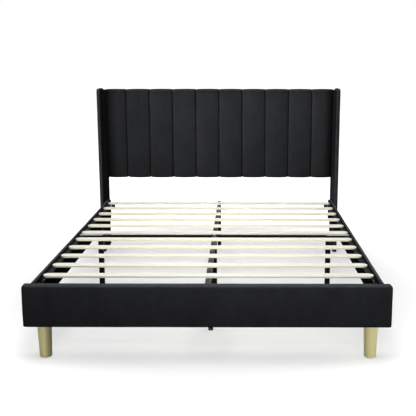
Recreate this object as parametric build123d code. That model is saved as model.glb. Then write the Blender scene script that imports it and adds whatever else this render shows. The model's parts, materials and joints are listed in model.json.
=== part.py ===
from build123d import *
import os

# Upholstered bed frame: channelled headboard between two wings, thin padded side rails, padded footboard
# on turned legs, and a slatted deck on steel ledges, a crossbar and centre beams.
# Millimetres. +Z up, head towards +Y, origin on the floor under the centre of the whole bed.

# Deck and side rails
DECK_HEIGHT = 351.0
RAIL_SPAN = 1580.0
RAIL_LENGTH = 2035.0
RAIL_DEPTH = 132.0
RAIL_BOARD = 18.0
RAIL_PAD = 3.0
RAIL_ROUND = 6.0

# Footboard
FOOTBOARD_OVERHANG = 34.0
FOOTBOARD_DEPTH = 195.0
FOOTBOARD_THICK = 50.0
FOOTBOARD_BOARD = 18.0
FOOTBOARD_BACK_PAD = 6.0
FOOTBOARD_TOP_PAD = 9.0
FOOTBOARD_END_PAD = 24.0
FOOTBOARD_CROWN = 4.0
FOOTBOARD_ROLL = 18.0
FOOTBOARD_END_ROUND = 16.0

# Headboard panel
PANEL_GAP = 149.0
PANEL_HEIGHT = 620.0
CHANNELS = 10
OUTER_CHANNEL_SHARE = 0.895
CHANNEL_CROWN = 12.0
CHANNEL_SCALLOP = 3.0
SEAM_DEPTH = 24.0
PANEL_ROUND = 16.0
PANEL_RIM = 4.0
PANEL_BOARD = 12.0
BATTEN_THICK = 20.0
BATTEN_WIDTH = 60.0
BACK_COVER = 2.0
BACK_COVER_INSET = 6.0

# Wings
WING_THICK = 28.0
WING_DEPTH = 246.0
WING_LAP = 145.0
WING_RISE = 10.0
WING_STEP = 15.0
WING_STEP_AT = 110.0
WING_STEP_RUN = 75.0
WING_CORNER = 22.0
WING_EDGE_ROUND = 11.0
WING_BOARD = 12.0
WING_BOARD_CORNER = 6.0
WING_FRONT_PAD = 14.0
WING_TOP_PAD = 12.0
WING_BACK_PAD = 4.0
WING_GLIDE_DIAMETER = 22.0
WING_GLIDE_HEIGHT = 6.0
WING_GLIDE_INSET = 40.0

# Slats and their ledges
FOOT_SLATS = 5
HEAD_SLATS = 6
SLAT_WIDTH = 55.0
SLAT_THICK = 8.0
SLAT_DROP = 1.0
SLAT_END_GAP = 1.5
FIRST_SLAT_AT = 132.0
LAST_SLAT_AT = 126.0
LEDGE_SIZE = 25.0
LEDGE_WALL = 2.5
LEDGE_OVERHANG = 12.0

# Crossbar and its legs
CROSSBAR_PLACE_SHARE = 0.4762
CROSSBAR_SIZE = 30.0
CROSSBAR_WALL = 1.5
CROSSBAR_END_GAP = 2.5
CROSSBAR_FOOT_GAP = 78.5
CROSSBAR_HEAD_GAP = 2.5
CROSSBAR_PLATE = 3.0
CROSSBAR_PLATE_WIDTH = 26.0
CROSSBAR_LEG = 28.0
CROSSBAR_LEG_INSET = 90.0

# Centre beams, their hangers and legs
BEAM_SIZE = 25.0
BEAM_WALL = 1.5
BEAM_GAP = 1.0
BEAM_LEG = 25.0
BEAM_LEG_PAST_SLAT = 18.5
BEAM_LEG_FROM_END = 20.0
REAR_BEAM_STOP = 15.0
HANGER_WALL = 2.5
HANGER_SIDE = 17.0
HANGER_REACH = 40.0
HANGER_WING = 22.0
END_CAP = 3.0
END_CAP_STUB = 10.0

# Steel legs and levelling feet
LEG_WALL = 1.5
LEG_HEAD_PLATE = 4.0
PLUG_DEPTH = 18.0
PLUG_FLANGE = 2.0
FOOT_DIAMETER = 26.0
FOOT_THICK = 8.0
FOOT_EDGE = 2.0
FOOT_EXPOSED = 4.0
FOOT_STUD = 8.0
FOOT_STUD_LENGTH = 44.0

# Turned front legs and what holds them
FRONT_LEG_TOP = 65.0
FRONT_LEG_BOTTOM = 55.0
FRONT_LEG_EDGE = 4.0
FRONT_LEG_RING_RISE = 17.0
FRONT_LEG_RING_WIDTH = 2.4
FRONT_LEG_RING_DEPTH = 1.0
FRONT_LEG_INBOARD = 28.0
FRONT_LEG_BOLT_EDGE = 2.7
LEG_GLIDE_DIAMETER = 34.0
LEG_GLIDE_HEIGHT = 3.0
LEG_PLATE = 2.5
LEG_PLATE_SIZE = 64.0
LEG_PLATE_SCREW_INSET = 5.5
HANGER_BOLT = 8.0
HANGER_BOLT_IN_LEG = 32.0
HANGER_BOLT_IN_BLOCK = 26.0
CORNER_BLOCK_WIDTH = 76.0
CORNER_BLOCK_DEPTH = 44.0

# Brackets and plates
BRACKET_WALL = 3.0
HEAD_BRACKET_LENGTH = 73.0
HEAD_BRACKET_HEIGHT = 44.0
HEAD_BRACKET_DROP = 21.0
HEAD_BRACKET_SETBACK = 2.0
HEAD_BRACKET_LIP = 29.0
HEAD_BRACKET_BOLT_SHARES = (0.25, 0.7)
FOOT_BRACKET_REACH = 60.0
FOOT_BRACKET_HEIGHT = 96.0
FOOT_BRACKET_DROP = 15.0
FOOT_BRACKET_BOLT_SHARES = (0.22, 0.78)
BLOCK_SCREW_SHARES = (0.3, 0.7)
JOINING_PLATE = 2.0
JOINING_PLATE_WIDTH = 52.0
JOINING_PLATE_HEIGHT = 34.0
JOINING_PLATE_CORNER = 5.0
JOINING_PLATE_SHARES = (0.13, 0.87)

# Fasteners
BOLT = 8.0
BOLT_HEAD = 14.0
BOLT_HEAD_HEIGHT = 5.0
HEAD_BOLT_LENGTH = 44.0
FOOT_BOLT_LENGTH = 20.0
SCREW = 5.0
SCREW_HEAD = 9.0
SCREW_HEAD_HEIGHT = 2.0
SCREW_LENGTH = 16.0
BLOCK_SCREW_LENGTH = 60.0
LEDGE_SCREWS = 7
LEDGE_SCREW_MARGIN = 40.0

# Fits
CLEARANCE = 0.3
THREAD_CLEARANCE = 0.1
OVERRUN = 5.0

UP = (0, 0, 1)
DOWN = (0, 0, -1)
TO_RIGHT = (1, 0, 0)
TO_HEAD = (0, 1, 0)
TO_FOOT = (0, -1, 0)

# Places along Y, from the footboard's face to the screw heads on the headboard's back
total_length = FOOTBOARD_THICK + RAIL_LENGTH - WING_LAP + WING_DEPTH + JOINING_PLATE + SCREW_HEAD_HEIGHT
foot_face = -total_length / 2
foot_back = foot_face + FOOTBOARD_THICK
rail_head = foot_back + RAIL_LENGTH
wing_front = rail_head - WING_LAP
wing_back = wing_front + WING_DEPTH
crossbar_y = foot_back + CROSSBAR_PLACE_SHARE * RAIL_LENGTH
crossbar_front = crossbar_y - CROSSBAR_SIZE / 2
crossbar_back = crossbar_y + CROSSBAR_SIZE / 2
foot_slat_first = foot_back + FIRST_SLAT_AT
foot_slat_last = crossbar_front - CROSSBAR_FOOT_GAP - SLAT_WIDTH / 2
head_slat_first = crossbar_back + CROSSBAR_HEAD_GAP + SLAT_WIDTH / 2
head_slat_last = rail_head - LAST_SLAT_AT
foot_pitch = (foot_slat_last - foot_slat_first) / (FOOT_SLATS - 1)
head_pitch = (head_slat_last - head_slat_first) / (HEAD_SLATS - 1)
ledge_foot = foot_slat_first - SLAT_WIDTH / 2 - LEDGE_OVERHANG
ledge_head = head_slat_last + SLAT_WIDTH / 2 + LEDGE_OVERHANG
front_leg_y = foot_back + FRONT_LEG_BOLT_EDGE + CLEARANCE + HANGER_BOLT / 2
front_beam_start = foot_back + HANGER_WALL + BEAM_GAP
front_beam_leg_y = foot_slat_first + foot_pitch + SLAT_WIDTH / 2 + BEAM_LEG_PAST_SLAT
rear_beam_end = rail_head - REAR_BEAM_STOP
rear_beam_leg_y = rear_beam_end - BEAM_LEG_FROM_END
rim_back = wing_back - BACK_COVER
batten_front = rim_back - BATTEN_THICK
panel_inner = batten_front - PANEL_BOARD
seam_y = panel_inner - SEAM_DEPTH
crown_y = seam_y - CHANNEL_CROWN

# Places along X, on the right half
rail_outer = RAIL_SPAN / 2
rail_inner = rail_outer - RAIL_BOARD - 2 * RAIL_PAD
footboard_end = rail_outer + FOOTBOARD_OVERHANG
wing_inner = rail_outer + CLEARANCE
wing_middle = wing_inner + WING_THICK / 2
panel_half = wing_inner - CLEARANCE
core_half = panel_half - PANEL_RIM
ledge_inner = rail_inner - LEDGE_SIZE
slat_end = rail_inner - SLAT_END_GAP
crossbar_end = ledge_inner - CROSSBAR_END_GAP
crossbar_leg_x = crossbar_end - CROSSBAR_LEG_INSET
front_leg_x = rail_inner - FRONT_LEG_INBOARD
hanger_half = BEAM_SIZE / 2 + HANGER_WALL

# Places along Z
footboard_bottom = DECK_HEIGHT - FOOTBOARD_DEPTH
rail_bottom = DECK_HEIGHT - RAIL_DEPTH
slat_under = DECK_HEIGHT - SLAT_DROP - SLAT_THICK
crossbar_under = slat_under - CROSSBAR_SIZE
beam_middle = slat_under - BEAM_SIZE / 2
beam_under = slat_under - BEAM_SIZE
hanger_under = beam_under - HANGER_WALL
panel_bottom = DECK_HEIGHT + PANEL_GAP
panel_top = panel_bottom + PANEL_HEIGHT
core_bottom = panel_bottom + CHANNEL_SCALLOP + PANEL_RIM
core_top = panel_top - CHANNEL_SCALLOP - PANEL_RIM
wing_top = panel_top + WING_RISE
leg_end = FOOT_THICK + FOOT_EXPOSED + PLUG_FLANGE
leg_plate_under = footboard_bottom - LEG_PLATE
head_bracket_top = DECK_HEIGHT - HEAD_BRACKET_DROP
foot_bracket_top = DECK_HEIGHT - FOOT_BRACKET_DROP


def block(x0, x1, y0, y1, z0, z1):
    """Box between two opposite corners."""
    middle = Pos((x0 + x1) / 2, (y0 + y1) / 2, (z0 + z1) / 2)
    return middle * Box(x1 - x0, y1 - y0, z1 - z0)


def rod(start, direction, diameter, length):
    """Round bar from a point along a direction."""
    plane = Plane(origin=start, z_dir=direction)
    return plane * Cylinder(diameter / 2, length, align=(Align.CENTER, Align.CENTER, Align.MIN))


def fastener(seat, into, diameter, length, head, head_height):
    """Low head on its seat, and a plain shank into the material."""
    top = rod((0, 0, 0), UP, head, head_height)
    top = chamfer(top.edges().sort_by(Axis.Z)[-1], head_height / 2)
    shank = rod((0, 0, 0), DOWN, diameter, length)
    return Plane(origin=seat, z_dir=Vector(*into) * -1) * (top + shank)


def screw(seat, into, length=SCREW_LENGTH):
    """Pan-head screw."""
    return fastener(seat, into, SCREW, length, SCREW_HEAD, SCREW_HEAD_HEIGHT)


def bolt(seat, into, length):
    """Dome-head machine bolt."""
    return fastener(seat, into, BOLT, length, BOLT_HEAD, BOLT_HEAD_HEIGHT)


def drilled(piece, seats, into, diameter, length):
    """A piece with a clearance hole for the shank under each seat."""
    for seat in seats:
        start = Vector(*seat) - Vector(*into) * OVERRUN
        piece -= rod(start, into, diameter + 2 * CLEARANCE, length + OVERRUN + CLEARANCE)
    return piece


def square_tube(plane, size, wall, length):
    """Square steel tube with rounded corners, open at both ends."""
    outside = RectangleRounded(size, size, 2 * wall)
    inside = RectangleRounded(size - 2 * wall, size - 2 * wall, wall)
    return plane * extrude(outside - inside, amount=length)


def square_plug(plane, size, wall, length):
    """Square bar that fits the bore of a tube, with freer corners."""
    bore = size - 2 * wall
    return plane * extrude(RectangleRounded(bore, bore, 2 * wall), amount=length)


def pair(piece):
    """A piece of the right half and its mirror image on the left."""
    return [mirror(piece, about=Plane.YZ), piece]


def foot_slats():
    """Slat centres between the footboard and the crossbar."""
    return [foot_slat_first + i * foot_pitch for i in range(FOOT_SLATS)]


def head_slats():
    """Slat centres between the crossbar and the headboard."""
    return [head_slat_first + i * head_pitch for i in range(HEAD_SLATS)]


# Seats of the fasteners, shared by the fasteners and every piece that they pass through

def joining_seats():
    """Screws of the right plates on the headboard's back."""
    seats = []
    for share in JOINING_PLATE_SHARES:
        z = panel_bottom + share * PANEL_HEIGHT
        for x in (wing_inner - WING_THICK / 2, wing_middle):
            for rise in (-JOINING_PLATE_HEIGHT / 4, JOINING_PLATE_HEIGHT / 4):
                seats.append((x, wing_back + JOINING_PLATE, z + rise))
    return seats


def ledge_seats():
    """Screws through the right ledge into the rail."""
    x = rail_inner - LEDGE_WALL
    z = slat_under - (LEDGE_SIZE + LEDGE_WALL) / 2
    step = (ledge_head - ledge_foot - 2 * LEDGE_SCREW_MARGIN) / (LEDGE_SCREWS - 1)
    return [(x, ledge_foot + LEDGE_SCREW_MARGIN + i * step, z) for i in range(LEDGE_SCREWS)]


def head_bracket_seats():
    """Bolts through the right head bracket and rail into the wing."""
    x = rail_inner - BRACKET_WALL
    start = rail_head - HEAD_BRACKET_SETBACK - HEAD_BRACKET_LENGTH
    z = head_bracket_top - HEAD_BRACKET_HEIGHT / 2
    return [(x, start + share * HEAD_BRACKET_LENGTH, z) for share in HEAD_BRACKET_BOLT_SHARES]


def foot_rail_seats():
    """Bolts through the right foot bracket into the rail."""
    x = rail_inner - BRACKET_WALL
    y = foot_back + FOOT_BRACKET_REACH / 2
    return [(x, y, foot_bracket_top - share * FOOT_BRACKET_HEIGHT) for share in FOOT_BRACKET_BOLT_SHARES]


def foot_board_seats():
    """Bolts through the right foot bracket into the footboard."""
    x = rail_inner - FOOT_BRACKET_REACH / 2
    y = foot_back + BRACKET_WALL
    return [(x, y, foot_bracket_top - share * FOOT_BRACKET_HEIGHT) for share in FOOT_BRACKET_BOLT_SHARES]


def block_seats():
    """Screws through the right corner block into the footboard."""
    y = foot_back + CORNER_BLOCK_DEPTH
    z = (footboard_bottom + HANGER_BOLT_IN_BLOCK + rail_bottom) / 2
    left = front_leg_x - CORNER_BLOCK_WIDTH / 2
    return [(left + share * CORNER_BLOCK_WIDTH, y, z) for share in BLOCK_SCREW_SHARES]


def leg_plate_seats():
    """Screws up through the corners of the right leg plate, clear of the leg."""
    reach = LEG_PLATE_SIZE / 2 - LEG_PLATE_SCREW_INSET
    corners = [(-reach, -reach), (-reach, reach), (reach, -reach), (reach, reach)]
    return [(front_leg_x + dx, front_leg_y + dy, leg_plate_under) for dx, dy in corners]


def hanger_seats():
    """Screws of the beam hanger into the footboard, both sides."""
    x = hanger_half + HANGER_WING / 2
    z = (hanger_under + slat_under) / 2
    return [(-x, foot_back + HANGER_WALL, z), (x, foot_back + HANGER_WALL, z)]


def crossbar_seats():
    """Bolts down through the crossbar, left, centre and right, on its top face."""
    return [(x, crossbar_y, slat_under) for x in (-crossbar_leg_x, 0, crossbar_leg_x)]


def beam_seats():
    """Bolts down through the centre beams, front and rear."""
    return [(0, front_beam_leg_y, slat_under), (0, rear_beam_leg_y, slat_under)]


# Headboard panel

def channel_sides():
    """Places of the two sides of each channel. The outer channels, beside the wings, are narrower."""
    inner = CHANNELS - 2
    width = 2 * panel_half / (inner + 2 * OUTER_CHANNEL_SHARE)
    seams = [(i - inner / 2) * width for i in range(inner + 1)]
    places = [-panel_half, *seams, panel_half]
    return list(zip(places, places[1:]))


def channel_plan():
    """Plan of the pad: a flat back and one shallow arc for each channel."""
    edges = []
    for left, right in channel_sides():
        crown = ((left + right) / 2, crown_y, panel_bottom)
        edges.append(ThreePointArc((left, seam_y, panel_bottom), crown, (right, seam_y, panel_bottom)))
    right_side = [(panel_half, seam_y, panel_bottom), (panel_half, rim_back, panel_bottom)]
    left_side = [(-panel_half, rim_back, panel_bottom), (-panel_half, seam_y, panel_bottom)]
    edges.append(Polyline(*right_side, *left_side))
    return make_face(edges)


def channel_outline():
    """Front view of the pad, scalloped along its top and bottom."""
    low = panel_bottom + CHANNEL_SCALLOP
    high = panel_top - CHANNEL_SCALLOP
    edges = []
    for valley, tip in ((low, panel_bottom), (high, panel_top)):
        for left, right in channel_sides():
            middle = ((left + right) / 2, crown_y, tip)
            edges.append(ThreePointArc((left, crown_y, valley), middle, (right, crown_y, valley)))
    for x in (-panel_half, panel_half):
        edges.append(Line((x, crown_y, low), (x, crown_y, high)))
    return make_face(edges)


def channel_side():
    """Side view of the pad, its top and bottom edges rolled over at the front."""
    front = [(-panel_half, crown_y, panel_bottom), (-panel_half, crown_y, panel_top)]
    back = [(-panel_half, rim_back, panel_top), (-panel_half, rim_back, panel_bottom)]
    face = make_face(Polyline(*front, *back, close=True))
    return fillet(face.vertices().group_by(Axis.Y)[0], PANEL_ROUND)


def headboard_channel_pad():
    """Velvet pad sewn into channels and wrapped round the edges of the board and battens."""
    plan = extrude(channel_plan(), amount=PANEL_HEIGHT, dir=UP)
    outline = extrude(channel_outline(), amount=rim_back - crown_y, dir=TO_HEAD)
    side = extrude(channel_side(), amount=2 * panel_half, dir=TO_RIGHT)
    pocket = block(-core_half, core_half, panel_inner, rim_back + OVERRUN, core_bottom, core_top)
    return (plan & outline & side) - pocket


def headboard_board():
    """Plywood board behind the pad."""
    return block(-core_half, core_half, panel_inner, batten_front, core_bottom, core_top)


def headboard_battens():
    """Two stiles and three rails of timber, butted together behind the board."""
    inner = core_half - BATTEN_WIDTH
    middle = (core_bottom + core_top - BATTEN_WIDTH) / 2
    stile = block(inner, core_half, batten_front, rim_back, core_bottom, core_top)
    pieces = pair(drilled(stile, joining_seats(), TO_FOOT, SCREW, SCREW_LENGTH))
    for z in (core_bottom, middle, core_top - BATTEN_WIDTH):
        pieces.append(block(-inner, inner, batten_front, rim_back, z, z + BATTEN_WIDTH))
    return pieces


def headboard_back_cover():
    """Flat cloth panel over the battens."""
    half = panel_half - BACK_COVER_INSET
    low = panel_bottom + BACK_COVER_INSET
    high = panel_top - BACK_COVER_INSET
    seats = joining_seats()
    seats += [(-x, y, z) for x, y, z in seats]
    cover = block(-half, half, rim_back, wing_back, low, high)
    return drilled(cover, seats, TO_FOOT, SCREW, SCREW_LENGTH)


# Wings

def wing_side(x, front, back, top, corner):
    """Side view of a wing: the front stands taller and slopes down to the panel's height."""
    corners = [
        (x, front, WING_GLIDE_HEIGHT),
        (x, front, top),
        (x, front + WING_STEP_AT, top),
        (x, front + WING_STEP_AT + WING_STEP_RUN, top - WING_STEP),
        (x, back, top - WING_STEP),
        (x, back, WING_GLIDE_HEIGHT),
    ]
    face = make_face(Polyline(*corners, close=True))
    upper = [v for v in face.vertices() if v.Z > WING_GLIDE_HEIGHT + CLEARANCE and v.Y < back - CLEARANCE]
    return fillet(upper, corner)


def wing_core():
    """Space of the board inside the right wing."""
    x = wing_middle - WING_BOARD / 2
    front = wing_front + WING_FRONT_PAD
    side = wing_side(x, front, wing_back - WING_BACK_PAD, wing_top - WING_TOP_PAD, WING_BOARD_CORNER)
    return extrude(side, amount=WING_BOARD, dir=TO_RIGHT)


def wing_holes(piece):
    """A piece of the right wing, drilled for the rail's bolts and the joining plates."""
    piece = drilled(piece, head_bracket_seats(), TO_RIGHT, BOLT, HEAD_BOLT_LENGTH)
    return drilled(piece, joining_seats(), TO_FOOT, SCREW, SCREW_LENGTH)


def wing_cover():
    """Padded velvet cover of the right wing, rolled at its front and top, open below round the board."""
    side = wing_side(wing_inner, wing_front, wing_back, wing_top, WING_CORNER)
    cover = extrude(side, amount=WING_THICK, dir=TO_RIGHT)
    rims = [edge for face in cover.faces().filter_by(Axis.X) for edge in face.edges()]
    rolled = [edge for edge in rims if is_front_or_top(edge.center())]
    cover = fillet(rolled, min(WING_EDGE_ROUND, (WING_THICK - CLEARANCE) / 2))
    return wing_holes(cover - wing_core())


def is_front_or_top(centre):
    """True for the middle of an edge that is neither along the bottom nor up the back of a wing."""
    return centre.Z > WING_GLIDE_HEIGHT + CLEARANCE and centre.Y < wing_back - CLEARANCE


def wing_glides():
    """Plastic glides under the front and back of each wing."""
    front = rod((wing_middle, wing_front + WING_GLIDE_INSET, 0), UP, WING_GLIDE_DIAMETER, WING_GLIDE_HEIGHT)
    back = rod((wing_middle, wing_back - WING_GLIDE_INSET, 0), UP, WING_GLIDE_DIAMETER, WING_GLIDE_HEIGHT)
    return pair(front) + pair(back)


def joining_plates():
    """Flat steel plates across the joints of panel and wings, on the back."""
    plates = []
    x0 = wing_inner - JOINING_PLATE_WIDTH / 2
    for share in JOINING_PLATE_SHARES:
        z0 = panel_bottom + share * PANEL_HEIGHT - JOINING_PLATE_HEIGHT / 2
        z1 = z0 + JOINING_PLATE_HEIGHT
        plate = block(x0, x0 + JOINING_PLATE_WIDTH, wing_back, wing_back + JOINING_PLATE, z0, z1)
        plate = fillet(plate.edges().filter_by(Axis.Y), JOINING_PLATE_CORNER)
        plates += pair(drilled(plate, joining_seats(), TO_FOOT, SCREW, SCREW_LENGTH))
    return plates


def joining_plate_screws():
    """Screws of the joining plates."""
    return [piece for seat in joining_seats() for piece in pair(screw(seat, TO_FOOT))]


# Side rails

def rail_core():
    """Space of the board inside the right rail."""
    x = rail_inner + RAIL_PAD
    return block(x, x + RAIL_BOARD, foot_back, rail_head - RAIL_PAD, rail_bottom, DECK_HEIGHT - RAIL_PAD)


def rail_holes(piece):
    """A piece of the right rail, drilled for its ledge and brackets."""
    piece = drilled(piece, ledge_seats(), TO_RIGHT, SCREW, SCREW_LENGTH)
    piece = drilled(piece, head_bracket_seats(), TO_RIGHT, BOLT, HEAD_BOLT_LENGTH)
    return drilled(piece, foot_rail_seats(), TO_RIGHT, BOLT, FOOT_BOLT_LENGTH)


def rail_cover():
    """Thin velvet cover of the right rail, closed at the head end and open along its bottom."""
    inner = [(rail_inner, foot_back, rail_bottom), (rail_inner, foot_back, DECK_HEIGHT)]
    outer = [(rail_outer, foot_back, DECK_HEIGHT), (rail_outer, foot_back, rail_bottom)]
    face = make_face(Polyline(*inner, *outer, close=True))
    face = fillet(face.vertices().group_by(Axis.Z)[-1], RAIL_ROUND)
    cover = extrude(face, amount=RAIL_LENGTH, dir=TO_HEAD)
    return rail_holes(cover - rail_core())


def slat_ledge():
    """Steel angle on the right rail: one flange under the slats and one against the rail."""
    low = slat_under - LEDGE_SIZE
    shelf = block(ledge_inner, rail_inner, ledge_foot, ledge_head, slat_under - LEDGE_WALL, slat_under)
    web = block(rail_inner - LEDGE_WALL, rail_inner, ledge_foot, ledge_head, low, slat_under)
    return drilled(shelf + web, ledge_seats(), TO_RIGHT, SCREW, SCREW_LENGTH)


def deck_screws():
    """Screws of both ledges and of the beam hanger on the footboard."""
    ledges = [piece for seat in ledge_seats() for piece in pair(screw(seat, TO_RIGHT))]
    return ledges + [screw(seat, TO_FOOT) for seat in hanger_seats()]


def rail_head_brackets():
    """Pressed brackets that bolt the rails to the wings, each with a lip across its head end."""
    low = head_bracket_top - HEAD_BRACKET_HEIGHT
    end = rail_head - HEAD_BRACKET_SETBACK
    x = rail_inner - BRACKET_WALL
    web = block(x, rail_inner, end - HEAD_BRACKET_LENGTH, end, low, head_bracket_top)
    lip = block(rail_inner - HEAD_BRACKET_LIP, rail_inner, end - BRACKET_WALL, end, low, head_bracket_top)
    return pair(drilled(web + lip, head_bracket_seats(), TO_RIGHT, BOLT, HEAD_BOLT_LENGTH))


def head_bracket_bolts():
    """Bolts of the head brackets, through rail and wing cover into the wing boards."""
    return [piece for seat in head_bracket_seats() for piece in pair(bolt(seat, TO_RIGHT, HEAD_BOLT_LENGTH))]


def rail_foot_brackets():
    """Steel angles in the corners of the rails and the footboard."""
    low = foot_bracket_top - FOOT_BRACKET_HEIGHT
    end = foot_back + FOOT_BRACKET_REACH
    on_rail = block(rail_inner - BRACKET_WALL, rail_inner, foot_back, end, low, foot_bracket_top)
    left = rail_inner - FOOT_BRACKET_REACH
    on_board = block(left, rail_inner, foot_back, foot_back + BRACKET_WALL, low, foot_bracket_top)
    bracket = drilled(on_rail + on_board, foot_rail_seats(), TO_RIGHT, BOLT, FOOT_BOLT_LENGTH)
    return pair(drilled(bracket, foot_board_seats(), TO_FOOT, BOLT, FOOT_BOLT_LENGTH))


def foot_bracket_bolts():
    """Bolts of the foot brackets."""
    bolts = [bolt(seat, TO_RIGHT, FOOT_BOLT_LENGTH) for seat in foot_rail_seats()]
    bolts += [bolt(seat, TO_FOOT, FOOT_BOLT_LENGTH) for seat in foot_board_seats()]
    return [piece for each in bolts for piece in pair(each)]


# Footboard

def footboard_holes(piece):
    """A piece of the footboard, drilled for brackets, blocks, leg plates and beam hanger."""
    for mirrored in (1, -1):
        seats = [(mirrored * x, y, z) for x, y, z in foot_board_seats()]
        piece = drilled(piece, seats, TO_FOOT, BOLT, FOOT_BOLT_LENGTH)
        seats = [(mirrored * x, y, z) for x, y, z in block_seats()]
        piece = drilled(piece, seats, TO_FOOT, SCREW, BLOCK_SCREW_LENGTH)
        seats = [(mirrored * x, y, z) for x, y, z in leg_plate_seats()]
        piece = drilled(piece, seats, UP, SCREW, SCREW_LENGTH)
    return drilled(piece, hanger_seats(), TO_FOOT, SCREW, SCREW_LENGTH)


def footboard_core():
    """Space of the board inside the footboard."""
    half = footboard_end - FOOTBOARD_END_PAD
    back = foot_back - FOOTBOARD_BACK_PAD
    top = DECK_HEIGHT - FOOTBOARD_TOP_PAD
    return block(-half, half, back - FOOTBOARD_BOARD, back, footboard_bottom, top)


def footboard_cover():
    """Padded velvet cover with a crowned face, a rolled top and rounded ends."""
    front = foot_face + FOOTBOARD_CROWN
    low = (-footboard_end, front, footboard_bottom)
    high = (-footboard_end, front, DECK_HEIGHT)
    crown = (-footboard_end, foot_face, (footboard_bottom + DECK_HEIGHT) / 2)
    back = [(-footboard_end, foot_back, DECK_HEIGHT), (-footboard_end, foot_back, footboard_bottom)]
    face = make_face([ThreePointArc(low, crown, high), Polyline(high, *back, low)])
    face = fillet(face.vertices().group_by(Axis.Z)[-1], FOOTBOARD_ROLL)
    cover = extrude(face, amount=2 * footboard_end, dir=TO_RIGHT)
    rims = [edge for end in cover.faces().filter_by(Axis.X) for edge in end.edges()]
    rolled = [edge for edge in rims if edge.center().Z > footboard_bottom + CLEARANCE]
    cover = fillet(rolled, min(FOOTBOARD_END_ROUND, FOOTBOARD_ROLL - CLEARANCE))
    return footboard_holes(cover - footboard_core())


def corner_block():
    """Timber block behind the footboard, under the right rail and over the leg."""
    x0 = front_leg_x - CORNER_BLOCK_WIDTH / 2
    back = foot_back + CORNER_BLOCK_DEPTH
    piece = block(x0, x0 + CORNER_BLOCK_WIDTH, foot_back, back, footboard_bottom, rail_bottom)
    piece = drilled(piece, block_seats(), TO_FOOT, SCREW, BLOCK_SCREW_LENGTH)
    piece = drilled(piece, leg_plate_seats(), UP, SCREW, SCREW_LENGTH)
    return drilled(piece, [(front_leg_x, front_leg_y, footboard_bottom)], UP, HANGER_BOLT, HANGER_BOLT_IN_BLOCK)


def corner_block_screws():
    """Long screws that hold the corner blocks to the footboard."""
    return [piece for seat in block_seats() for piece in pair(screw(seat, TO_FOOT, BLOCK_SCREW_LENGTH))]


# Front legs

def leg_mounting_plate():
    """Steel plate over the right leg."""
    half = LEG_PLATE_SIZE / 2
    x0 = front_leg_x - half
    y0 = front_leg_y - half
    plate = block(x0, x0 + LEG_PLATE_SIZE, y0, y0 + LEG_PLATE_SIZE, leg_plate_under, footboard_bottom)
    plate = fillet(plate.edges().filter_by(Axis.Z), LEG_PLATE_SCREW_INSET)
    plate = drilled(plate, leg_plate_seats(), UP, SCREW, SCREW_LENGTH)
    return drilled(plate, [(front_leg_x, front_leg_y, leg_plate_under)], UP, HANGER_BOLT, LEG_PLATE)


def leg_plate_screws():
    """Screws of the leg plates."""
    return [piece for seat in leg_plate_seats() for piece in pair(screw(seat, UP))]


def leg_hanger_bolt():
    """Double-ended bolt between the right leg and its block."""
    length = HANGER_BOLT_IN_LEG + LEG_PLATE + HANGER_BOLT_IN_BLOCK
    return rod((front_leg_x, front_leg_y, leg_plate_under - HANGER_BOLT_IN_LEG), UP, HANGER_BOLT, length)


def front_leg():
    """Turned and tapered right leg with eased edges and a ring cut near its foot, bored for its hanger bolt."""
    bottom = LEG_GLIDE_HEIGHT
    low = (FRONT_LEG_BOTTOM / 2, 0, bottom)
    high = (FRONT_LEG_TOP / 2, 0, leg_plate_under)
    face = make_face(Polyline((0, 0, bottom), low, high, (0, 0, leg_plate_under), close=True))
    face = fillet([v for v in face.vertices() if v.X > CLEARANCE], FRONT_LEG_EDGE)
    taper = (FRONT_LEG_TOP - FRONT_LEG_BOTTOM) / 2 / (leg_plate_under - bottom)
    ring = bottom + FRONT_LEG_RING_RISE
    radius = FRONT_LEG_BOTTOM / 2 + taper * FRONT_LEG_RING_RISE
    deep = (radius - FRONT_LEG_RING_DEPTH, 0, ring)
    under = (radius + FRONT_LEG_RING_DEPTH, 0, ring - FRONT_LEG_RING_WIDTH)
    over = (radius + FRONT_LEG_RING_DEPTH, 0, ring + FRONT_LEG_RING_WIDTH)
    face -= make_face(Polyline(deep, under, over, close=True))
    leg = Pos(front_leg_x, front_leg_y, 0) * revolve(face, Axis.Z)
    bore = HANGER_BOLT + 2 * THREAD_CLEARANCE
    depth = HANGER_BOLT_IN_LEG + OVERRUN + CLEARANCE
    return leg - rod((front_leg_x, front_leg_y, leg_plate_under + OVERRUN), DOWN, bore, depth)


def front_leg_glide():
    """Glide under the right leg."""
    return rod((front_leg_x, front_leg_y, 0), UP, LEG_GLIDE_DIAMETER, LEG_GLIDE_HEIGHT)


# Deck

def slat(y):
    """Thin wooden slat with half-round ends."""
    outline = SlotCenterToCenter(2 * slat_end - SLAT_WIDTH, SLAT_WIDTH)
    return Pos(0, y, slat_under) * extrude(outline, amount=SLAT_THICK)


def crossbar():
    """Square tube across the bed, drilled for the bolts of its legs."""
    start = (-crossbar_end, crossbar_y, slat_under - CROSSBAR_SIZE / 2)
    plane = Plane(origin=start, x_dir=TO_HEAD, z_dir=TO_RIGHT)
    tube = square_tube(plane, CROSSBAR_SIZE, CROSSBAR_WALL, 2 * crossbar_end)
    return drilled(tube, crossbar_seats(), DOWN, BOLT, CROSSBAR_SIZE)


def crossbar_plates():
    """Zinc plates that hang the ends of the crossbar on the ledges."""
    half = CROSSBAR_PLATE_WIDTH / 2
    y0 = crossbar_y - half
    x1 = rail_inner - CLEARANCE
    plate = block(crossbar_leg_x - half, x1, y0, y0 + CROSSBAR_PLATE_WIDTH, slat_under, slat_under + CROSSBAR_PLATE)
    plate = fillet(plate.edges().filter_by(Axis.Z).group_by(Axis.X)[0], half - CLEARANCE)
    seat = (crossbar_leg_x, crossbar_y, slat_under + CROSSBAR_PLATE)
    return pair(drilled(plate, [seat], DOWN, BOLT, CROSSBAR_PLATE))


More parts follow.
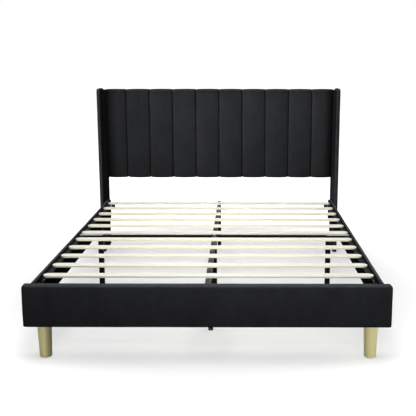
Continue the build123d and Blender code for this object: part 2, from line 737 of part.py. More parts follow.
def beam_hanger(y, out):
    """U-shaped trough that carries the end of a centre beam, with its open end along Y."""
    y0 = min(y, y + out * HANGER_REACH)
    y1 = y0 + HANGER_REACH
    high = beam_under + HANGER_SIDE
    outside = block(-hanger_half, hanger_half, y0, y1, hanger_under, high)
    return outside - block(-BEAM_SIZE / 2, BEAM_SIZE / 2, y0, y1, beam_under, high + OVERRUN)


def beam_hangers():
    """Hanger screwed to the footboard, and the two on the faces of the crossbar."""
    half = hanger_half + HANGER_WING
    back = foot_back + HANGER_WALL
    face = block(-half, half, foot_back, back, hanger_under, slat_under)
    face = fillet(face.edges().filter_by(Axis.Y), HANGER_WALL)
    on_footboard = drilled(face + beam_hanger(back, 1), hanger_seats(), TO_FOOT, SCREW, SCREW_LENGTH)
    return [on_footboard, beam_hanger(crossbar_front, -1), beam_hanger(crossbar_back, 1)]


def centre_beam(start, end):
    """Square tube along the middle, drilled for its leg bolt."""
    plane = Plane(origin=(0, start, beam_middle), x_dir=TO_RIGHT, z_dir=TO_HEAD)
    tube = square_tube(plane, BEAM_SIZE, BEAM_WALL, end - start)
    return drilled(tube, beam_seats(), DOWN, BOLT, BEAM_SIZE)


def beam_end_cap():
    """Plastic cap in the head end of the rear beam."""
    plane = Plane(origin=(0, rear_beam_end, beam_middle), x_dir=TO_RIGHT, z_dir=TO_HEAD)
    lid = plane * extrude(RectangleRounded(BEAM_SIZE, BEAM_SIZE, 2 * BEAM_WALL), amount=END_CAP)
    return lid + square_plug(plane, BEAM_SIZE, BEAM_WALL, -END_CAP_STUB)


def leg_bolts():
    """Bolts down through crossbar and beams into the heads of the steel legs."""
    left, centre, right = crossbar_seats()
    length = CROSSBAR_SIZE + LEG_HEAD_PLATE
    bolts = [bolt(centre, DOWN, length)]
    for x, y, z in (left, right):
        bolts.append(bolt((x, y, z + CROSSBAR_PLATE), DOWN, length + CROSSBAR_PLATE))
    for seat in beam_seats():
        bolts.append(bolt(seat, DOWN, BEAM_SIZE + LEG_HEAD_PLATE))
    return bolts


# Steel legs

def steel_leg(x, y, size, top):
    """Square leg with a welded head plate that takes the bolt from above."""
    base = Plane(origin=(x, y, leg_end))
    head = Plane(origin=(x, y, top))
    tube = square_tube(base, size, LEG_WALL, top - LEG_HEAD_PLATE - leg_end)
    plate = head * extrude(RectangleRounded(size, size, 2 * LEG_WALL), amount=-LEG_HEAD_PLATE)
    bore = BOLT + 2 * THREAD_CLEARANCE
    return tube + plate - rod((x, y, top + OVERRUN), DOWN, bore, LEG_HEAD_PLATE + 2 * OVERRUN)


def leg_end_plug(x, y, size):
    """Threaded plastic plug in the lower end of a steel leg."""
    base = Plane(origin=(x, y, leg_end))
    flange = base * extrude(RectangleRounded(size, size, 2 * LEG_WALL), amount=-PLUG_FLANGE)
    plug = flange + square_plug(base, size, LEG_WALL, PLUG_DEPTH)
    bore = FOOT_STUD + 2 * THREAD_CLEARANCE
    return plug - rod((x, y, 0), UP, bore, leg_end + PLUG_DEPTH + OVERRUN)


def levelling_foot(x, y):
    """Disc foot on a threaded stud that screws up into the leg."""
    disc = rod((0, 0, 0), UP, FOOT_DIAMETER, FOOT_THICK)
    disc = fillet(disc.edges().filter_by(GeomType.CIRCLE).sort_by(Axis.Z)[-1], FOOT_EDGE)
    return Pos(x, y, 0) * (disc + rod((0, 0, 0), UP, FOOT_STUD, FOOT_THICK + FOOT_STUD_LENGTH))


def steel_legs():
    """Place, size and head height of each steel leg by name."""
    return {
        "left_crossbar": (-crossbar_leg_x, crossbar_y, CROSSBAR_LEG, crossbar_under),
        "centre_crossbar": (0, crossbar_y, CROSSBAR_LEG, crossbar_under),
        "right_crossbar": (crossbar_leg_x, crossbar_y, CROSSBAR_LEG, crossbar_under),
        "front_beam": (0, front_beam_leg_y, BEAM_LEG, beam_under),
        "rear_beam": (0, rear_beam_leg_y, BEAM_LEG, beam_under),
    }


def bed():
    """Every piece of the bed by name, each as a list of solids."""
    pieces = {
        "headboard_channel_pad": [headboard_channel_pad()],
        "headboard_board": [headboard_board()],
        "headboard_battens": headboard_battens(),
        "headboard_back_cover": [headboard_back_cover()],
        "wing_boards": pair(wing_holes(wing_core())),
        "wing_glides": wing_glides(),
        "joining_plates": joining_plates(),
        "joining_plate_screws": joining_plate_screws(),
        "rail_boards": pair(rail_holes(rail_core())),
        "rail_head_brackets": rail_head_brackets(),
        "head_bracket_bolts": head_bracket_bolts(),
        "rail_foot_brackets": rail_foot_brackets(),
        "foot_bracket_bolts": foot_bracket_bolts(),
        "footboard_board": [footboard_holes(footboard_core())],
        "footboard_cover": [footboard_cover()],
        "corner_blocks": pair(corner_block()),
        "corner_block_screws": corner_block_screws(),
        "leg_mounting_plates": pair(leg_mounting_plate()),
        "leg_plate_screws": leg_plate_screws(),
        "leg_hanger_bolts": pair(leg_hanger_bolt()),
        "front_leg_glides": pair(front_leg_glide()),
        "deck_screws": deck_screws(),
        "crossbar": [crossbar()],
        "crossbar_plates": crossbar_plates(),
        "beam_hangers": beam_hangers(),
        "front_beam": [centre_beam(front_beam_start, crossbar_front - BEAM_GAP)],
        "rear_beam": [centre_beam(crossbar_back + BEAM_GAP, rear_beam_end)],
        "beam_end_cap": [beam_end_cap()],
        "leg_bolts": leg_bolts(),
        "leg_end_plugs": [leg_end_plug(x, y, size) for x, y, size, top in steel_legs().values()],
    }
    halves = {
        "wing_cover": wing_cover(),
        "rail_cover": rail_cover(),
        "slat_ledge": slat_ledge(),
        "front_leg": front_leg(),
    }
    for name, piece in halves.items():
        left, right = pair(piece)
        pieces["left_" + name] = [left]
        pieces["right_" + name] = [right]
    for name, (x, y, size, top) in steel_legs().items():
        pieces[name + "_leg"] = [steel_leg(x, y, size, top)]
        pieces[name + "_levelling_foot"] = [levelling_foot(x, y)]
    from_head = sorted(foot_slats() + head_slats(), reverse=True)
    for number, y in enumerate(from_head, start=1):
        pieces[f"slat_{number:02d}"] = [slat(y)]
    return pieces


os.makedirs("parts", exist_ok=True)
for name, solids in bed().items():
    export_step(Compound(children=solids), "parts/" + name + ".step")
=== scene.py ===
"""Looks of the upholstered bed: padded velvet covers, wood, steel, and a pale studio."""
import json
import math

import bpy
import numpy as np
from mathutils import Matrix, Vector

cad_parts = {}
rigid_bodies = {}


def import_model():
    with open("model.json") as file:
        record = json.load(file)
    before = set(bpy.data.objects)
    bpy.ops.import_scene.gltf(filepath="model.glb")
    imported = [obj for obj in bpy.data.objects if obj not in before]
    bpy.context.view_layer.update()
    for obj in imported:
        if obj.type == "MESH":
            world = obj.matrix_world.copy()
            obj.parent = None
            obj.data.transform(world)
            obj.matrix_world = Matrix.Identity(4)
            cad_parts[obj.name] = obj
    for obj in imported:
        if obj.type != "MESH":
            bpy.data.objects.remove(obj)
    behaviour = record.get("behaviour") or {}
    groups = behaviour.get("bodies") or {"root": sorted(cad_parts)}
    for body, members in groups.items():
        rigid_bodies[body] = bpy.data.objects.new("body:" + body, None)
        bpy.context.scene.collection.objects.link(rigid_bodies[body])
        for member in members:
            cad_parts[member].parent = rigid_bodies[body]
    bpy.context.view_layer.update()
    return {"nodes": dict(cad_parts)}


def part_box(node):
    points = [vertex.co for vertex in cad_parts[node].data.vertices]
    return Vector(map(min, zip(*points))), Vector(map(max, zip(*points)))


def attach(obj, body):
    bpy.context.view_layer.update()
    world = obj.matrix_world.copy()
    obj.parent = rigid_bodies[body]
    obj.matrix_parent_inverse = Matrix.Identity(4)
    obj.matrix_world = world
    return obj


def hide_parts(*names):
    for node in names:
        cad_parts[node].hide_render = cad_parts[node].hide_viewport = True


for old in list(bpy.data.objects):
    bpy.data.objects.remove(old)

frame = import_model()
nodes = frame["nodes"]

# Lengths are in metres, lamp powers in watts and lamp beams in degrees.

# Camera, fitted to the photograph
PIXELS = 416
FOCAL_PIXELS = 768
AXIS_PIXEL = 237.9
SENSOR_MM = 36.0
NEAREST, FARTHEST = 0.1, 200
EYE = Vector((0.1466, -4.3425, 1.3440))
YAW = math.radians(-0.171)
PITCH = math.radians(11.192)
ROLL = math.radians(0.032)

# Studio. A lamp's row is its name, place, target, width, depth, power and beam.
WORLD_LEVEL = 0.10
WORLD_COLOUR = (0.97, 0.98, 1.0)
WHITE = (1, 1, 1)
FLOOR_REACH = 60.0
FLOOR_COLOUR = (0.60, 0.60, 0.605)
# The floor's own glow is weaker near the bed, where the bed's shadow shows, and rises to white
# further out, where it paints over the lamps' shadows.
GLOW_NEAR_BED = 0.388
GLOW_FADE = (1.25, 2.2)
GLOW_STRETCH = (1.3, 1, 1)
GLOW_SHIFT = (0, -0.1, 0)
LAMPS = (
    ("key", (-0.1, -1.3, 3.2), (0, -0.2, 0.3), 1.8, 2.0, 40, 180),
    ("top", (0.0, -0.4, 8.0), (0, -0.6, 0), 5.0, 5.0, 330, 180),
    ("fill", (2.1, -4.1, 0.6), (0.4, -0.8, 0.35), 1.0, 0.8, 46, 180),
    ("deck", (0.2, -3.6, 2.6), (0, 0.3, 0.35), 0.5, 0.5, 3.0, 30),
    ("back", (-1.2, 5.2, 0.20), (0, 1.1, 0.75), 1.4, 0.3, 12, 40),
)

# Woods: pale grain, dark grain and knots. The left front leg has a paler, lit copy of its own, with
# painted shade on its right.
TIMBER = ((0.55, 0.40, 0.22), (0.36, 0.22, 0.10), (0.16, 0.08, 0.035))
SLAT = ((0.82, 0.82, 0.75), (0.78, 0.74, 0.62), (0.61, 0.51, 0.34))
# Painted light on the slats' sides, as a factor on their colour
SLAT_SIDE_LIGHT = (1.18, 1.16, 1.00)
LEG = ((0.83, 0.77, 0.40), (0.69, 0.61, 0.29), (0.46, 0.35, 0.16))
LIT_AND_SHADED_LEG = ((0.98, 0.91, 0.46), (0.84, 0.74, 0.33), (0.55, 0.42, 0.17))
ALONG_X, ALONG_Z = 0, 2

# Velvet: its tint, and the shares of its tone when pressed, raised, streaked and at the pile's tips
VELVET_TINT = (0.96, 1.0, 1.07)
VELVET_SHARES = (0.80, 1.18, 1.45, 1.9)
# Painted side light on upright velvet: a gain, then greys from faces turned left to faces turned
# right
SIDE_LIGHT_GAIN = (2.0, 2.0, 2.0)
SIDE_LIGHT_STOPS = ((0.0, 1.0), (0.28, 0.61), (0.5, 0.5), (0.72, 0.42), (1.0, 0.18))
WING_OUTSIDE = (0.812, 0.821)
WING_OUTSIDE_COLOUR = (0.034, 0.036, 0.039)
# Painted shade on a wing's inner side: deepest at the first place, gone by the second
WING_INSIDE = (0.7903, 0.7960)

# Gloss of the beams' steel, beyond that of the other steel. It also turns on their painted
# reflection on top.
BEAM_GLOSS = 0.12

# Headboard pad: outline, rounds, crown between seams, grooves along them, crease below its top
CHANNELS = 10
OUTER_CHANNEL_SHARE = 0.895
PAD_HALF = 0.790
PAD_LOW = 0.503
PAD_HIGH = 1.117
PAD_SEAM_Y = 1.033
PAD_BACK_Y = 1.0885
PAD_ROLL = 0.016
PAD_EDGE = 0.001
PAD_CROWN = 0.012
PAD_SCALLOP = 0.003
GROOVE_DEPTH = 0.0030
GROOVE_WIDTH = 0.0035
GROOVE_WAVER = ((0.0007, 31, 17), (0.0005, 83, 5))
CREASE_BELOW_TOP = 0.026
CREASE_DEPTH = 0.0026
CREASE_WIDTH = 0.0040
ROUND_SHARE, FULL_SHARE, FULLNESS = 0.62, 0.38, 7

# The channels beside the wings are narrower than the inner ones.
INNER_CHANNELS = CHANNELS - 2
CHANNEL_WIDTH = 2 * PAD_HALF / (INNER_CHANNELS + 2 * OUTER_CHANNEL_SHARE)
INNER_SEAMS = [(i - INNER_CHANNELS / 2) * CHANNEL_WIDTH for i in range(INNER_CHANNELS + 1)]
SEAMS = np.array([-PAD_HALF] + INNER_SEAMS + [PAD_HALF])

# Lines of the pad's mesh beside each seam, between the seams, and beside the crease
SEAM_HOLD = 0.0005
SEAM_LINES = np.array([0.0, 0.0013, 0.0028, 0.0050, 0.0080, 0.0120, 0.0175])
CHANNEL_LINES = 13
CREASE_LINES = np.array([-0.0065, -0.003, 0, 0.003, 0.0065])
CREASE_CLEAR = 0.008

# Footboard cover: rounded edges, crowned face, and the folds at its top corners
FOOT_END = 0.016
FOOT_ROLL = 0.018
FOOT_HEM = 0.004
FOOT_CROWN = 0.004
FOOT_RISE = 0.002
FOLD_DEPTH = 0.0024
FOLD_WIDTH = 0.0055
FOLD_REACH = 0.07
FOLD_SLANT = 0.8

# Rail covers: rounded edges, and the gap to the wing where the cover is held
RAIL_EDGE = 0.006
RAIL_HEM = 0.002
RAIL_HEAD = 0.003
RAIL_WING_GAP = 0.004

# Wing covers: rolled edge, front corner, step down behind it, and where panel and rail hold them
WING_EDGE = 0.011
WING_EDGE_LINE = 0.0045
WING_CORNER = 0.022
WING_STEP = 0.015
WING_STEP_START = 0.105
WING_STEP_RUN = 0.085
WING_PANEL_Y = 1.005
WING_RAIL_Z = 0.365
PLEAT_DEPTH = 0.0022
PLEAT_WIDTH = 0.0026
PLEAT_REACH = 0.020
PLEAT_INSET = 0.004
PLEATS = ((0.0005, 1.0), (-0.0068, 0.6), (0.0072, 0.5))

# Back cloth
BACK_RIM = 0.05
BACK_INSET = 0.0003
BACK_HOLLOW = 0.0009

# Cloth simulation. A hollow is no deeper than a share of the highest rise.
FRAMES = 20
PRESSURE = 4.0
SLACK = 0.002
DEEPEST_HOLLOW = 0.3

# Mesh lines over a rounded edge
ROUND_LINES = 5

# Unevenness: wavelengths with their shares, and waves of each
LUMPS = ((0.30, 0.5), (0.13, 0.3), (0.06, 0.2))
LUMP_WAVES = 5

TINY = 1e-9


# Shader nodes

def join(tree, value, socket):
    """Links a node's output to an input, or sets the input to a plain value."""
    if isinstance(value, bpy.types.NodeSocket):
        tree.links.new(value, socket)
    else:
        socket.default_value = value


def add_node(tree, kind, **inputs):
    """A new shader node, with its named inputs linked or set."""
    node = tree.nodes.new("ShaderNode" + kind)
    for name, value in inputs.items():
        join(tree, value, node.inputs[name.replace("_", " ")])
    return node


def combine(tree, operation, first, second):
    """Output of a math node with two inputs."""
    node = tree.nodes.new("ShaderNodeMath")
    node.operation = operation
    join(tree, first, node.inputs[0])
    join(tree, second, node.inputs[1])
    return node.outputs[0]


def seen_directly(tree):
    """1 for camera, glossy and transmission rays, and 0 for the rays that light things."""
    path = add_node(tree, "LightPath").outputs
    shown = combine(tree, "MAXIMUM", path["Is Camera Ray"], path["Is Glossy Ray"])
    return combine(tree, "MAXIMUM", shown, path["Is Transmission Ray"])


# Camera and studio

def make_camera():
    """Camera at the photograph's place, with its lens and framing."""
    data = bpy.data.cameras.new("camera")
    data.sensor_width = SENSOR_MM
    data.lens = SENSOR_MM * FOCAL_PIXELS / PIXELS
    data.shift_x = (PIXELS / 2 - AXIS_PIXEL) / PIXELS
    data.clip_start = NEAREST
    data.clip_end = FARTHEST
    level_share = math.cos(PITCH)
    forward = Vector((math.sin(YAW) * level_share, math.cos(YAW) * level_share, -math.sin(PITCH)))
    level = Vector((math.cos(YAW), -math.sin(YAW), 0))
    rise = level.cross(forward)
    right = math.cos(ROLL) * level + math.sin(ROLL) * rise
    up = math.cos(ROLL) * rise - math.sin(ROLL) * level
    camera = bpy.data.objects.new("camera", data)
    bpy.context.scene.collection.objects.link(camera)
    turn = Matrix((right, up, -forward)).transposed().to_4x4()
    camera.matrix_world = Matrix.Translation(EYE) @ turn
    bpy.context.scene.camera = camera
    bpy.context.scene.view_settings.view_transform = "Standard"


def area_lamp(name, place, target, width, depth, power, beam):
    """Soft rectangular lamp aimed at a point."""
    data = bpy.data.lights.new(name, "AREA")
    data.shape = "RECTANGLE"
    data.size = width
    data.size_y = depth
    data.energy = power
    data.spread = math.radians(beam)
    lamp = bpy.data.objects.new(name, data)
    bpy.context.scene.collection.objects.link(lamp)
    place = Vector(place)
    lamp.location = place
    lamp.rotation_mode = "QUATERNION"
    lamp.rotation_quaternion = (Vector(target) - place).to_track_quat("-Z", "Y")


def make_world():
    """Even white surroundings that light the bed at a plain level and look white."""
    world = bpy.data.worlds.new("world")
    bpy.context.scene.world = world
    world.use_nodes = True
    tree = world.node_tree
    lit = tree.nodes["Background"]
    lit.inputs["Color"].default_value = (*WORLD_COLOUR, 1)
    lit.inputs["Strength"].default_value = WORLD_LEVEL
    seen = add_node(tree, "Background", Color=(*WHITE, 1))
    mix = tree.nodes.new("ShaderNodeMixShader")
    for index, output in enumerate((seen_directly(tree), lit.outputs[0], seen.outputs[0])):
        tree.links.new(output, mix.inputs[index])
    tree.links.new(mix.outputs[0], tree.nodes["World Output"].inputs["Surface"])


def floor_finish():
    """Diffuse floor with a glow of its own that only the camera and reflections see."""
    made = bpy.data.materials.new("floor")
    made.use_nodes = True
    tree = made.node_tree
    tree.nodes.remove(tree.nodes["Principled BSDF"])
    diffuse = add_node(tree, "BsdfDiffuse", Color=(*FLOOR_COLOUR, 1))
    place = add_node(tree, "TexCoord").outputs["Object"]
    around = add_node(tree, "Mapping", Vector=place, Scale=GLOW_STRETCH, Location=GLOW_SHIFT)
    away = tree.nodes.new("ShaderNodeVectorMath")
    away.operation = "LENGTH"
    tree.links.new(around.outputs["Vector"], away.inputs[0])
    near, far = GLOW_FADE
    fade = add_node(tree, "MapRange", Value=away.outputs["Value"],
                    From_Min=near, From_Max=far, To_Min=GLOW_NEAR_BED, To_Max=1.0)
    fade.interpolation_type = "SMOOTHSTEP"
    strength = combine(tree, "MULTIPLY", seen_directly(tree), fade.outputs["Result"])
    glow = add_node(tree, "Emission", Strength=strength)
    both = tree.nodes.new("ShaderNodeAddShader")
    tree.links.new(diffuse.outputs[0], both.inputs[0])
    tree.links.new(glow.outputs[0], both.inputs[1])
    tree.links.new(both.outputs[0], tree.nodes["Material Output"].inputs["Surface"])
    return made


def make_floor():
    """Pale floor: an even white under its own shading, so that the shadow on it stays light."""
    mesh = bpy.data.meshes.new("floor")
    signs = ((-1, -1), (1, -1), (1, 1), (-1, 1))
    corners = [(FLOOR_REACH * x, FLOOR_REACH * y, 0) for x, y in signs]
    mesh.from_pydata(corners, [], [(0, 1, 2, 3)])
    mesh.materials.append(floor_finish())
    floor = bpy.data.objects.new("floor", mesh)
    bpy.context.scene.collection.objects.link(floor)


# Materials

class Finish:
    """A node material that is built up from textures in the bed's own coordinates."""

    def __init__(self, name, **uniform):
        self.material = bpy.data.materials.new(name)
        self.material.use_nodes = True
        self.tree = self.material.node_tree
        self.shader = self.tree.nodes["Principled BSDF"]
        for socket, value in uniform.items():
            self.shader.inputs[socket.replace("_", " ")].default_value = value
        self.place = self.node("TexCoord").outputs["Object"]

    def node(self, kind, **inputs):
        """A new node in this material, with its named inputs linked or set."""
        return add_node(self.tree, kind, **inputs)

    def stretched(self, scale):
        """The coordinates, stretched along one direction."""
        return self.node("Mapping", Vector=self.place, Scale=scale).outputs["Vector"]

    def noise(self, scale, detail=3.0, rough=0.5, distortion=0.0, stretch=(1, 1, 1)):
        """Cloudy pattern from 0 to 1."""
        node = self.node("TexNoise", Vector=self.stretched(stretch), Scale=scale, Detail=detail,
                         Roughness=rough, Distortion=distortion)
        return node.outputs["Fac"]

    def cells(self, scale, stretch=(1, 1, 1)):
        """Distance pattern of scattered cells."""
        node = self.node("TexVoronoi", Vector=self.stretched(stretch), Scale=scale)
        return node.outputs["Distance"]

    def waves(self, scale, distortion, detail=2.0, detail_scale=1.0, stretch=(1, 1, 1), axis="X"):
        """Bands with wavy edges, one after another along an axis."""
        node = self.node("TexWave", Vector=self.stretched(stretch), Scale=scale,
                         Distortion=distortion, Detail=detail, Detail_Scale=detail_scale)
        node.bands_direction = axis
        return node.outputs["Fac"]

    def ramp(self, value, *stops):
        """Colours or greys at places along a pattern."""
        node = self.tree.nodes.new("ShaderNodeValToRGB")
        self.tree.links.new(value, node.inputs["Fac"])
        points = node.color_ramp.elements
        while len(points) < len(stops):
            points.new(0.5)
        for point, (at, colour) in zip(points, stops):
            point.position = at
            point.color = (*colour, 1) if isinstance(colour, tuple) else (colour, colour, colour, 1)
        return node.outputs["Color"]

    def share(self, value, low, high, most=1.0):
        """0 where a pattern is low, up to the most where it is high."""
        return self.ramp(value, (low, 0.0), (high, most))

    def mix(self, share, first, second, blend="MIX"):
        """One colour over another."""
        node = self.tree.nodes.new("ShaderNodeMix")
        node.data_type = "RGBA"
        node.blend_type = blend
        join(self.tree, share, node.inputs[0])
        for value, socket in ((first, node.inputs[6]), (second, node.inputs[7])):
            join(self.tree, (*value, 1) if isinstance(value, tuple) else value, socket)
        return node.outputs[2]

    def times(self, base, factor):
        """A colour multiplied by another."""
        return self.mix(1.0, base, factor, "MULTIPLY")

    def shade(self, value, base, *stops):
        """A colour made darker by greys at places along a value."""
        return self.times(base, self.ramp(value, *stops))

    def between(self, value, low, high, soft=True):
        """0 to 1 as a value goes from low to high."""
        node = self.node("MapRange", Value=value, From_Min=low, From_Max=high)
        if soft:
            node.interpolation_type = "SMOOTHSTEP"
        return node.outputs["Result"]

    def facing(self, axis):
        """How far a surface faces along an axis, from -1 to 1."""
        normal = self.node("NewGeometry").outputs["Normal"]
        return self.node("SeparateXYZ", Vector=normal).outputs[axis]

    def at(self, axis):
        """The coordinate along an axis."""
        return self.node("SeparateXYZ", Vector=self.place).outputs[axis]

    def away(self, axis, fold=None):
        """Distance from the middle plane across an axis, or from planes that lie 2 folds apart."""
        if fold:
            return combine(self.tree, "PINGPONG", self.at(axis), fold)
        node = self.tree.nodes.new("ShaderNodeMath")
        node.operation = "ABSOLUTE"
        self.tree.links.new(self.at(axis), node.inputs[0])
        return node.outputs[0]

    def edge(self, radius):
        """1 along sharp edges and 0 on flat surfaces."""
        bevel = self.node("Bevel", Radius=radius)
        bevel.samples = 4
        product = self.tree.nodes.new("ShaderNodeVectorMath")
        product.operation = "DOT_PRODUCT"
        self.tree.links.new(bevel.outputs["Normal"], product.inputs[0])
        self.tree.links.new(self.node("NewGeometry").outputs["Normal"], product.inputs[1])
        flat, sharp = 0.995, 0.90
        return self.between(product.outputs["Value"], flat, sharp, False)

    def bump(self, height, distance, strength):
        """Adds relief over what is already there."""
        node = self.node("Bump", Height=height, Distance=distance, Strength=strength)
        before = self.shader.inputs["Normal"].links
        if before:
            self.tree.links.new(before[0].from_socket, node.inputs["Normal"])
        self.tree.links.new(node.outputs["Normal"], self.shader.inputs["Normal"])

    def colour(self, value):
        """Gives the surface its colour."""
        self.tree.links.new(value, self.shader.inputs["Base Color"])

    def roughness(self, value):
        """Gives the surface its roughness."""
        self.tree.links.new(value, self.shader.inputs["Roughness"])


def painted_side_light(made, base):
    """Painted side light on upright velvet: lighter where it faces left, and darker where it faces
    right.
    """
    turned_right = made.between(made.facing("X"), -0.6, 0.6, False)
    return made.shade(turned_right, made.times(base, SIDE_LIGHT_GAIN), *SIDE_LIGHT_STOPS)


def pad_shadows(made, base):
    """Painted side light, and painted shade: along the seams in patches, beside the wings, low
    down.
    """
    base = painted_side_light(made, base)
    # Painted shade in the seam grooves, broken up in patches
    from_seam = made.away("X", CHANNEL_WIDTH / 2)
    seams = made.shade(from_seam, base, (0.0, 0.38), (0.0022, 0.60), (0.0052, 1.0))
    patches = made.share(made.noise(9, rough=0.6), 0.40, 0.62, most=0.55)
    base = made.mix(patches, seams, base)
    # Painted shadows of the wings at both ends of the pad
    left_wing_shadow = made.between(made.at("X"), -0.710, -PAD_HALF, False)
    base = made.shade(left_wing_shadow, base, (0.0, 1.0), (0.5, 0.58), (1.0, 0.10))
    right_wing_shadow = made.between(made.at("X"), 0.735, PAD_HALF, False)
    base = made.shade(right_wing_shadow, base, (0.0, 1.0), (1.0, 0.42))
    # Painted shade, darker low down
    return made.shade(made.away("Z"), base, (0.50, 0.62), (1.00, 1.0))


def wing_shadows(made, base, inner_shade):
    """A wing's painted side light, its even outer side, and painted shade on its inner side up to
    its rolled top.
    """
    base = painted_side_light(made, base)
    base = made.mix(made.between(made.away("X"), *WING_OUTSIDE), base, WING_OUTSIDE_COLOUR)
    deep, clear = WING_INSIDE
    # Painted shade on the inner side, but not on the rolled top
    inside = made.shade(made.away("X"), base, (deep, inner_shade), (clear, 1.0))
    return made.mix(made.between(made.facing("Z"), 0.1, 0.6), inside, base)


def rail_shadows(made, base):
    """A rail's inner side in shade."""
    return made.shade(made.away("X"), base, (0.767, 0.08), (0.775, 0.35), (0.781, 1.0))


def foot_shadows(made, base):
    """The footboard's face, darker towards its hem."""
    return made.shade(made.away("Z"), base, (0.159, 0.20), (0.165, 0.78), (0.340, 1.0))


def velvet(name, tone, top, shadows, *measures):
    """Black short-pile velvet: patches, streaks, fine pile, painted top sheen or shade, painted
    shade below.
    """
    made = Finish(name, Sheen_Weight=0.012, Sheen_Roughness=0.35, Specular_IOR_Level=0.0,
                  Sheen_Tint=(0.80, 0.85, 0.92, 1))
    clouds = made.noise(5.5, detail=4, rough=0.55, distortion=0.8, stretch=(1, 1, 0.6))
    brushed = made.share(clouds, 0.35, 0.68)
    strokes = made.noise(38, rough=0.6, distortion=0.4, stretch=(1, 1, 0.35))
    streaks = made.share(strokes, 0.3, 0.75)
    pile = made.noise(1400, detail=2, rough=0.6, stretch=(1, 1, 0.6))
    ripples = made.noise(30, rough=0.6, distortion=0.5, stretch=(1, 1, 0.5))
    pressed, raised, streaked, tip = [
        tuple(tone * share * tint for tint in VELVET_TINT) for share in VELVET_SHARES]
    base = made.mix(brushed, pressed, raised)
    base = made.mix(streaks, base, made.mix(0.5, base, streaked))
    base = made.mix(made.share(pile, 0.3, 0.7), base, made.mix(0.35, base, tip))
    # Painted sheen on upward faces where top is above 1, painted shade where it is below 1
    upward = made.between(made.facing("Z"), 0.35, 0.95)
    base = made.mix(upward, base, made.times(base, (top, top, top)))
    # Painted shade on downward faces
    clear_of_underside_shade = made.between(made.facing("Z"), -0.9, -0.2)
    base = made.shade(clear_of_underside_shade, base, (0.0, 0.2), (1.0, 1.0))
    # The piece's own painted light and shade
    made.colour(shadows(made, base, *measures))
    made.roughness(made.ramp(brushed, (0.0, 0.95), (1.0, 0.80)))
    made.bump(ripples, 0.0010, 0.5)
    made.bump(pile, 0.0004, 0.55)
    return made.material


def backing_cloth():
    """Black non-woven cloth with its pressed dot pattern and loose fibres."""
    made = Finish("backing_cloth", Sheen_Weight=0.2, Specular_IOR_Level=0.2)
    fibres = made.noise(420, detail=4, rough=0.7, distortion=2.5)
    cloudy = made.share(made.noise(14, rough=0.6), 0.35, 0.7)
    base = made.mix(cloudy, (0.020, 0.020, 0.021), (0.034, 0.034, 0.035))
    made.colour(made.mix(made.share(fibres, 0.45, 0.7), base, (0.06, 0.06, 0.062)))
    made.roughness(made.ramp(fibres, (0.3, 0.95), (0.8, 0.75)))
    made.bump(made.cells(520), 0.0005, 0.6)
    made.bump(fibres, 0.0003, 0.6)
    return made.material


def drawn_out(along, share):
    """Scale that stretches a pattern along one axis."""
    return tuple(share if axis == along else 1.0 for axis in range(3))


def wood(name, colours, along, sides=None, shaded=False):
    """Planed wood with rings, grain, pores and a few knots along one axis.

    Its sides can get painted light, and its side that faces right can have painted shade.
    """
    pale, dark, knot = colours
    made = Finish(name, Specular_IOR_Level=0.35)
    rings = made.waves(9, distortion=7.0, detail=3, detail_scale=0.8,
                       stretch=drawn_out(along, 0.05), axis="YZX"[along])
    grain = made.noise(260, detail=5, rough=0.65, distortion=0.2, stretch=drawn_out(along, 0.02))
    pores = made.noise(900, detail=2, stretch=drawn_out(along, 0.02))
    tone = made.noise(5.0, detail=2, distortion=0.3, stretch=drawn_out(along, 0.12))
    knots = made.ramp(made.cells(3.1, drawn_out(along, 0.55)), (0.0, 1.0), (0.045, 0.0))
    base = made.mix(made.share(rings, 0.2, 0.9), pale, made.mix(0.35, pale, dark))
    base = made.mix(made.share(grain, 0.42, 0.72, most=0.75), base, dark)
    base = made.mix(made.share(tone, 0.35, 0.7, most=0.45), base, made.mix(0.5, pale, dark))
    base = made.mix(made.share(pores, 0.66, 0.78, most=0.6), base, knot)
    base = made.mix(knots, base, knot)
    if sides:
        # Painted light on the faces that do not face up
        upward = made.between(made.facing("Z"), 0.2, 0.85)
        base = made.mix(upward, made.times(base, sides), base)
    if shaded:
        # Painted shade on the side that faces right
        rightward = made.between(made.facing("X"), -0.9, 1.0, False)
        base = made.shade(rightward, base, (0.0, 1.0), (0.50, 0.88), (0.75, 0.42), (1.0, 0.14))
    made.colour(base)
    made.roughness(made.ramp(grain, (0.3, 0.55), (0.8, 0.72)))
    made.bump(grain, 0.0003, 0.5)
    made.bump(pores, 0.0003, 0.4)
    return made.material


def plywood():
    """Raw plywood with its plies showing at the edges."""
    made = Finish("plywood", Specular_IOR_Level=0.25)
    plies = made.share(made.waves(60, distortion=0.6), 0.4, 0.6)
    grain = made.noise(120, detail=5, rough=0.65, distortion=0.2, stretch=(1, 0.06, 0.5))
    base = made.mix(plies, (0.42, 0.30, 0.17), (0.30, 0.19, 0.10))
    made.colour(made.mix(made.share(grain, 0.4, 0.75, most=0.7), base, (0.20, 0.12, 0.06)))
    made.roughness(made.ramp(grain, (0.3, 0.6), (0.8, 0.8)))
    made.bump(grain, 0.0004, 0.5)
    return made.material


